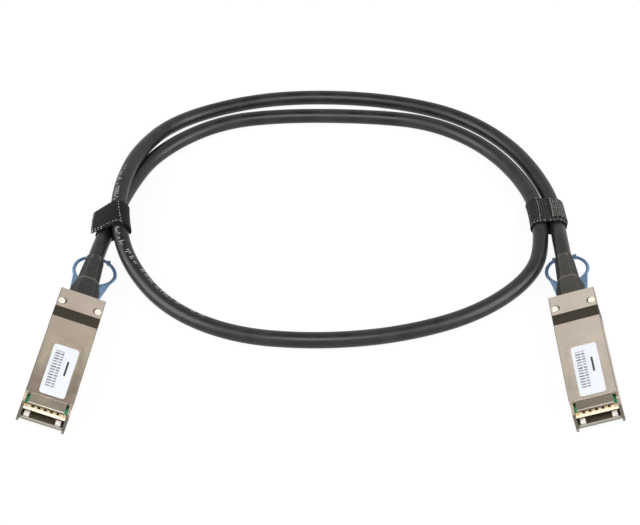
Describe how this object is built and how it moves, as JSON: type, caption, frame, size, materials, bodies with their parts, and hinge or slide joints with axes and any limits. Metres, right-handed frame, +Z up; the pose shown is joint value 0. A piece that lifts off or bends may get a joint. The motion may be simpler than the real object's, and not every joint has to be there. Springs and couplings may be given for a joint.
{
  "type": "direct attach copper cable",
  "caption": "Coiled black copper network cable with a flat metal plug, blue pull tab and spring latch at each end, tied by two hook and loop straps.",
  "frame": {"origin": "middle of the footprint of the two plugs, on the surface that they lie on", "axes": "+Z up, +X across from the left plug to the right plug, +Y from the plugs towards the far side of the coil"},
  "size_m": [0.2244, 0.1987, 0.0161],
  "materials": {
    "zinc_shell": "nickel plated die cast zinc, warm satin grey",
    "gasket_mesh": "dark conductive gasket, satin",
    "green_board": "green solder mask over glass fibre board",
    "gold_plate": "thin gold plate",
    "chip_plastic": "moulded black package",
    "bright_steel": "bright stamped steel",
    "label_film": null,
    "blue_plastic": "soft steel blue moulded plastic",
    "black_rubber": "moulded black elastomer, satin",
    "copper_sleeve": "bare copper sleeve",
    "wire_insulation": "foil wrapped twinaxial pairs",
    "cable_jacket": "black flexible jacket, satin, light printed dashes",
    "strap_fabric": "black hook and loop tape, woven, stitched edge"
  },
  "bodies": {
    "cable_assembly": {"left_base_shell": "zinc_shell", "left_cover_shell": "zinc_shell", "left_emi_gasket": "gasket_mesh", "left_circuit_board": "green_board", "left_edge_contacts": "gold_plate", "left_board_chips": "chip_plastic", "left_rivets": "bright_steel", "left_label": "label_film", "left_return_springs": "bright_steel", "left_cable_boot": "black_rubber", "left_crimp_ferrule": "copper_sleeve", "left_wire_pairs": "wire_insulation", "right_base_shell": "zinc_shell", "right_cover_shell": "zinc_shell", "right_emi_gasket": "gasket_mesh", "right_circuit_board": "green_board", "right_edge_contacts": "gold_plate", "right_board_chips": "chip_plastic", "right_rivets": "bright_steel", "right_label": "label_film", "right_return_springs": "bright_steel", "right_cable_boot": "black_rubber", "right_crimp_ferrule": "copper_sleeve", "right_wire_pairs": "wire_insulation", "cable": "cable_jacket", "left_strap": "strap_fabric", "right_strap": "strap_fabric"},
    "left_latch": {"left_latch_slide": "bright_steel", "left_pull_tab": "blue_plastic"},
    "right_latch": {"right_latch_slide": "bright_steel", "right_pull_tab": "blue_plastic"}
  },
  "joints": [
    {"name": "left_latch_pull", "type": "slide", "parent": "cable_assembly", "child": "left_latch", "axis": [0.1219, 0.9925, 0], "range_m": [0, 0.0024], "stiffness_N_per_m": 500, "springref_m": -0.004, "deforming": ["left_return_springs"]},
    {"name": "right_latch_pull", "type": "slide", "parent": "cable_assembly", "child": "right_latch", "axis": [-0.0314, 0.9995, 0], "range_m": [0, 0.0024], "stiffness_N_per_m": 500, "springref_m": -0.004, "deforming": ["right_return_springs"]}
  ]
}
